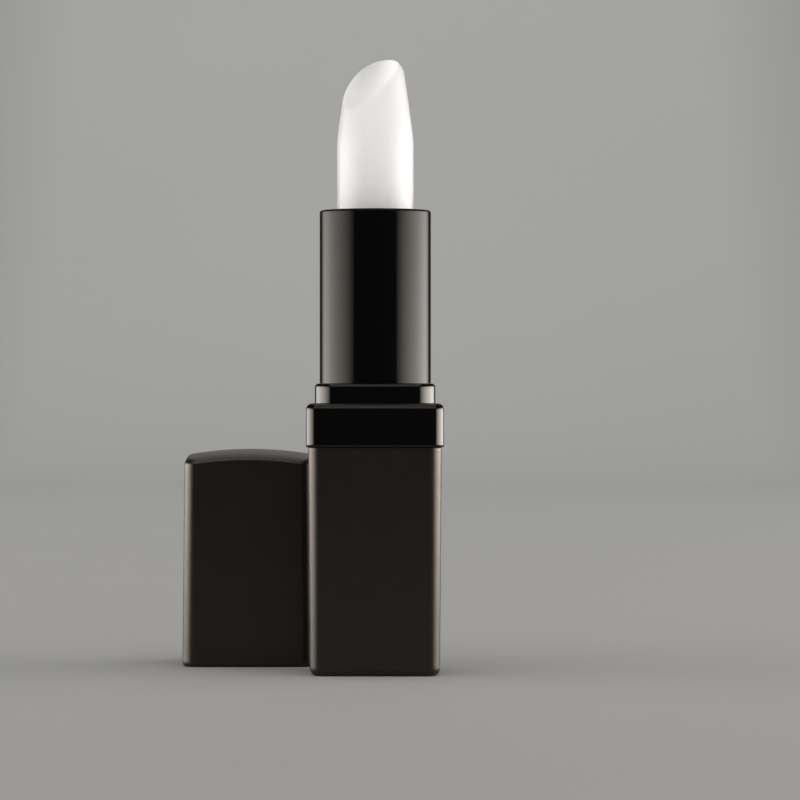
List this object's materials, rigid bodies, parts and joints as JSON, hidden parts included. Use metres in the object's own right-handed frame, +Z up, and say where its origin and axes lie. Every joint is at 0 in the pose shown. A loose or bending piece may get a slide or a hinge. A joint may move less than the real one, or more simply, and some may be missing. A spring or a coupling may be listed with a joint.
{
  "type": "lipstick case",
  "caption": "Square twist-up lipstick case, open with its bullet wound up, and its square cap standing behind it to the left.",
  "frame": {"origin": "middle of the case's foot, on the axis of the tube", "axes": "+Z up along the tube, -Y is the case's front, +X to the right of the front; the cap stands at -X, +Y"},
  "size_m": [0.042, 0.0435, 0.0971],
  "materials": {
    "soft_touch_black": "satin soft-touch lacquer, very dark brown-black",
    "gloss_black": "polished black",
    "wax": "smooth white wax with a soft sheen",
    "mechanism_black": "moulded, fine matt",
    "mechanism_natural": "moulded natural acetal",
    "liner_grey": "moulded, fine matt",
    "steel": "rolled and zinc plated",
    "rubber": "smooth silicone",
    "label": "blank paper label"
  },
  "bodies": {
    "base": {"base_shell": "soft_touch_black", "shade_label": "label", "base_weight": "steel", "base_liner": "liner_grey", "neck": "gloss_black", "collar_band": "gloss_black", "inner_sleeve": "mechanism_natural", "brake_ring": "rubber"},
    "tube": {"tube_shell": "gloss_black", "spiral": "mechanism_natural"},
    "carrier": {"cup": "mechanism_black", "bullet": "wax"},
    "cap": {"cap_shell": "soft_touch_black", "cap_weight": "steel", "cap_liner": "liner_grey"}
  },
  "joints": [
    {"name": "tube_twist", "type": "hinge", "parent": "base", "child": "tube", "pos_m": [0, 0, 0.045], "axis": [0, 0, 1], "range_deg": [0, 720]},
    {"name": "bullet_lift", "type": "slide", "parent": "base", "child": "carrier", "axis": [0, 0, 1], "range_m": [-0.0254, 0]},
    {"name": "cap_lift", "type": "slide", "parent": "base", "child": "cap", "axis": [0, 0, 1], "range_m": [0, 0.1]}
  ],
  "couplings": [
    {"joint": "bullet_lift", "follows": "tube_twist", "m_per_rad": -0.0020212}
  ]
}
